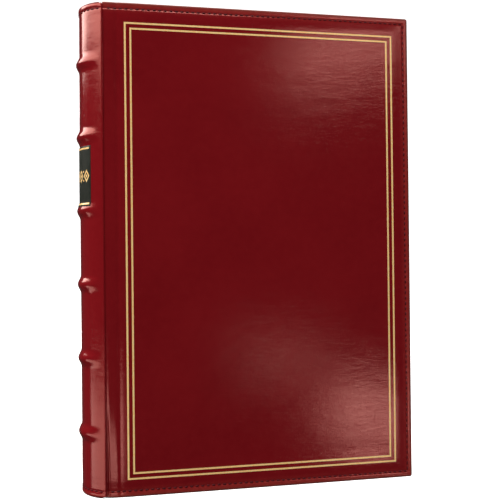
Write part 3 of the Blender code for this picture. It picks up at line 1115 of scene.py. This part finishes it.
def cloth_material(name, dark, light, threads):
    """A plain weave: two sets of threads that cross."""
    made, tree, shader = start_material(name, Roughness=0.85, Sheen_Weight=0.3, IOR=1.45)
    sets = []
    for direction in ("Y", "Z"):
        sets.append(node(
            tree, "ShaderNodeTexWave", {"Vector": places(tree), "Scale": threads, "Distortion": 1.2,
                                        "Detail": 1.0, "Detail Scale": 2.0},
            bands_direction=direction,
        ).outputs["Fac"])
    weave = maths(tree, "MULTIPLY", sets[0], sets[1])
    tree.links.new(ramp(tree, weave, (0.0, dark), (0.7, light)), shader.inputs["Base Color"])
    tree.links.new(bump(tree, weave, 0.12 * MM, 0.7), shader.inputs["Normal"])
    return made


def silk_material():
    """Two colours of silk thread in turn along the band."""
    made, tree, shader = start_material("band_silk", Roughness=0.38, Sheen_Weight=0.4, IOR=1.45)
    along = node(
        tree, "ShaderNodeTexWave", {"Vector": places(tree), "Scale": 260.0, "Distortion": 0.3},
        bands_direction="Y",
    ).outputs["Fac"]
    strands = noise_node(tree, places(tree, (2600, 1200, 2600)), 1.0, 2)
    tree.links.new(
        ramp(tree, along, (0.42, (0.34, 0.020, 0.018)), (0.55, (0.74, 0.56, 0.24))),
        shader.inputs["Base Color"],
    )
    tree.links.new(bump(tree, strands, 0.05 * MM, 0.6), shader.inputs["Normal"])
    return made


def foam_material():
    made, tree, shader = start_material("white_foam", Roughness=0.92, IOR=1.4)
    cells = node(tree, "ShaderNodeTexVoronoi", {"Vector": places(tree), "Scale": 1700.0}).outputs["Distance"]
    tree.links.new(
        ramp(tree, cells, (0.0, (0.90, 0.88, 0.82)), (0.8, (0.70, 0.68, 0.61))),
        shader.inputs["Base Color"],
    )
    tree.links.new(bump(tree, cells, 0.2 * MM, 0.6), shader.inputs["Normal"])
    return made


def cord_material():
    """Twisted hemp."""
    made, tree, shader = start_material("band_cord", Roughness=0.9, Sheen_Weight=0.25, IOR=1.45)
    twist = node(
        tree, "ShaderNodeTexWave", {"Vector": places(tree), "Scale": 420.0, "Distortion": 1.0},
        bands_direction="DIAGONAL",
    ).outputs["Fac"]
    tree.links.new(
        ramp(tree, twist, (0.1, (0.30, 0.22, 0.13)), (0.8, (0.66, 0.55, 0.38))),
        shader.inputs["Base Color"],
    )
    tree.links.new(bump(tree, twist, 0.2 * MM, 0.7), shader.inputs["Normal"])
    return made


def film_material():
    """Clear film: light goes through it, and it shines."""
    made, tree, shader = start_material("clear_film", Roughness=0.12, IOR=1.5, Alpha=0.22)
    waves = noise_node(tree, places(tree, (30, 30, 160)), 1.0, 2)
    tree.links.new(
        ramp(tree, waves, (0.3, (0.80, 0.83, 0.85)), (0.7, (0.92, 0.94, 0.95))),
        shader.inputs["Base Color"],
    )
    tree.links.new(bump(tree, waves, 0.1 * MM, 0.4), shader.inputs["Normal"])
    made.surface_render_method = "DITHERED"
    return made


def dress_nodes(materials):
    """Gives every CAD node that stays its own finish."""
    for name, obj in frame["nodes"].items():
        if name.startswith("leaf_"):
            kind = "card"
        elif name.endswith(("_flyleaf", "_pastedown")):
            kind = "endpaper"
        elif name.endswith("_board") or name == "spine_card":
            kind = "board"
        elif name.startswith("raised_band"):
            kind = "cord"
        elif name == "spine_lining":
            kind = "lining"
        else:
            continue
        obj.data.materials.clear()
        obj.data.materials.append(materials[kind])


# ---------------------------------------------------------------- stage, lights and camera

# The camera: its place, and its yaw to the right, pitch up and roll in degrees.
CAMERA_PLACE = (-0.1409, -0.5771, 0.1465)
CAMERA_TURN = (14.085, 0.493, -0.575)
CAMERA_LENS = 64.8


def add_camera():
    data = bpy.data.cameras.new("camera")
    data.lens = CAMERA_LENS
    data.sensor_width = 36
    data.clip_start = 0.01
    data.clip_end = 50
    camera = bpy.data.objects.new("camera", data)
    yaw, pitch, roll = (math.radians(a) for a in CAMERA_TURN)
    turn = Euler((math.pi / 2 + pitch, 0, -yaw)).to_matrix() @ Matrix.Rotation(roll, 3, "Z")
    camera.matrix_world = Matrix.Translation(CAMERA_PLACE) @ turn.to_4x4()
    bpy.context.scene.collection.objects.link(camera)
    bpy.context.scene.camera = camera


def add_light(name, place, target, size, radiance, colour=(1, 1, 1), roll=0.0):
    """A soft panel that faces the target, rolled by some degrees. Its power follows from its size
    and brightness."""
    data = bpy.data.lights.new(name, "AREA")
    data.shape = "RECTANGLE"
    data.size, data.size_y = size
    data.energy = radiance * math.pi * size[0] * size[1]
    data.color = colour
    light = bpy.data.objects.new(name, data)
    direction = Vector(target) - Vector(place)
    turn = direction.to_track_quat("-Z", "Y").to_matrix().to_4x4()
    light.matrix_world = Matrix.Translation(place) @ turn @ Matrix.Rotation(math.radians(roll), 4, "Z")
    light.visible_camera = False
    bpy.context.scene.collection.objects.link(light)


def stage_material(name, colour, glow):
    made, tree, shader = start_material(name, Roughness=0.9)
    cloud = noise_node(tree, places(tree), 3, 2)
    tone = ramp(tree, cloud, (0.3, tuple(c * 0.985 for c in colour)), (0.7, colour))
    tree.links.new(tone, shader.inputs["Base Color"])
    tree.links.new(tone, shader.inputs["Emission Color"])
    shader.inputs["Emission Strength"].default_value = glow
    return made


def add_stage():
    """A pale floor that curves up into a backdrop all round."""
    radius, rings, around = 3.0, 24, 64
    points, faces = [(0, 0, 0)], []
    for r in range(1, rings + 1):
        part = r / rings
        reach = radius * part
        rise = 2.2 * float(smooth(part, 0.55, 1.0)) * part
        for k in range(around):
            turn = 2 * math.pi * k / around
            points.append((reach * math.cos(turn), reach * math.sin(turn), rise))
    for k in range(around):
        faces.append((0, 1 + k, 1 + (k + 1) % around))
    for r in range(rings - 1):
        for k in range(around):
            a, b = 1 + r * around + k, 1 + r * around + (k + 1) % around
            faces.append((a, a + around, b + around, b))
    floor = add_object("floor", make_mesh("floor", points, faces), stage_material(
        "pale_floor", (0.92, 0.92, 0.92), 0.86))
    floor.visible_glossy = False
    floor.visible_diffuse = False
    floor.visible_shadow = False


def add_lights():
    middle = (0, 0, HEIGHT / 2)
    warm = (1, 0.93, 0.88)
    add_light("key", (-0.25, -1.10, 1.90), middle, (1.7, 1.2), 6.8)
    add_light("cover_high", (0.475, -1.13, 0.563), (0.06, 0, 0.28), (0.21, 0.055), 6.8, roll=20)
    add_light("cover_corner", (0.66, -1.13, 0.62), (0.10, 0, 0.29), (0.20, 0.08), 3.0)
    add_light("cover_low", (0.345, -0.69, -0.087), (0.07, 0, 0.04), (0.09, 0.07), 6.0, roll=-20)
    add_light("cover_low_soft", (0.212, -0.69, 0.003), (0.02, 0, 0.08), (0.12, 0.035), 1.8)
    add_light("spine_high", (-1.2, 0.1, 0.86), (CAD_LOW.x, 0, 0.29), (2.0, 0.60), 5.4, warm)
    add_light("spine_edge", (-1.2, 0.75, 0.80), (CAD_LOW.x, 0, 0.28), (0.7, 0.5), 1.6, (1, 0.86, 0.78))
    add_light("spine_foot", (-0.95, -0.30, -0.17), (-0.09, -0.02, 0.04), (1.2, 0.22), 2.4, warm)
    add_light("joint_foot", (-0.20, -0.62, -0.09), (-0.09, -0.02, 0.04), (0.16, 0.13), 2.8)
    add_light("overhead", (0, 0.1, 1.6), middle, (1.4, 1.4), 1.6)
    add_light("behind", (0.3, 1.4, 0.9), middle, (1.2, 0.9), 3.0)


def set_world():
    world = bpy.data.worlds.new("world")
    world.use_nodes = True
    background = world.node_tree.nodes["Background"]
    background.inputs["Color"].default_value = (1, 1, 1, 1)
    background.inputs["Strength"].default_value = 0.04
    bpy.context.scene.world = world
    bpy.context.scene.view_settings.view_transform = "Standard"


def build():
    leather = leather_material()
    thread = thread_material()
    gold = gold_material()
    materials = {
        "card": paper_material("black_card", (0.012, 0.012, 0.013), (0.026, 0.026, 0.028), 0.62),
        "endpaper": paper_material("ivory_endpaper", (0.72, 0.67, 0.55), (0.84, 0.80, 0.69), 0.75),
        "board": paper_material("grey_board", (0.30, 0.27, 0.22), (0.46, 0.42, 0.35), 0.9, 300.0),
        "cord": cord_material(),
        "lining": cloth_material("lining_cloth", (0.48, 0.46, 0.40), (0.78, 0.76, 0.70), 900.0),
    }
    tape = cloth_material("black_tape", (0.008, 0.008, 0.009), (0.04, 0.04, 0.042), 1100.0)
    foam = foam_material()
    add_spine_skin(leather)
    add_spine_seam(thread)
    add_label(label_material(), gold)
    for prefix, side in (("front", -1), ("back", 1)):
        add_cover_skin(prefix, side, leather)
        add_cover_seam(prefix, side, thread)
        add_gold_frame(prefix, side, gold)
        add_padding(prefix, side, foam)
        add_joint_lining(prefix, side, materials["endpaper"])
    add_guards(materials["card"])
    add_end_bands(silk_material())
    add_leaf_fittings(film_material(), tape)
    dress_nodes(materials)


build()
add_stage()
add_lights()
set_world()
add_camera()
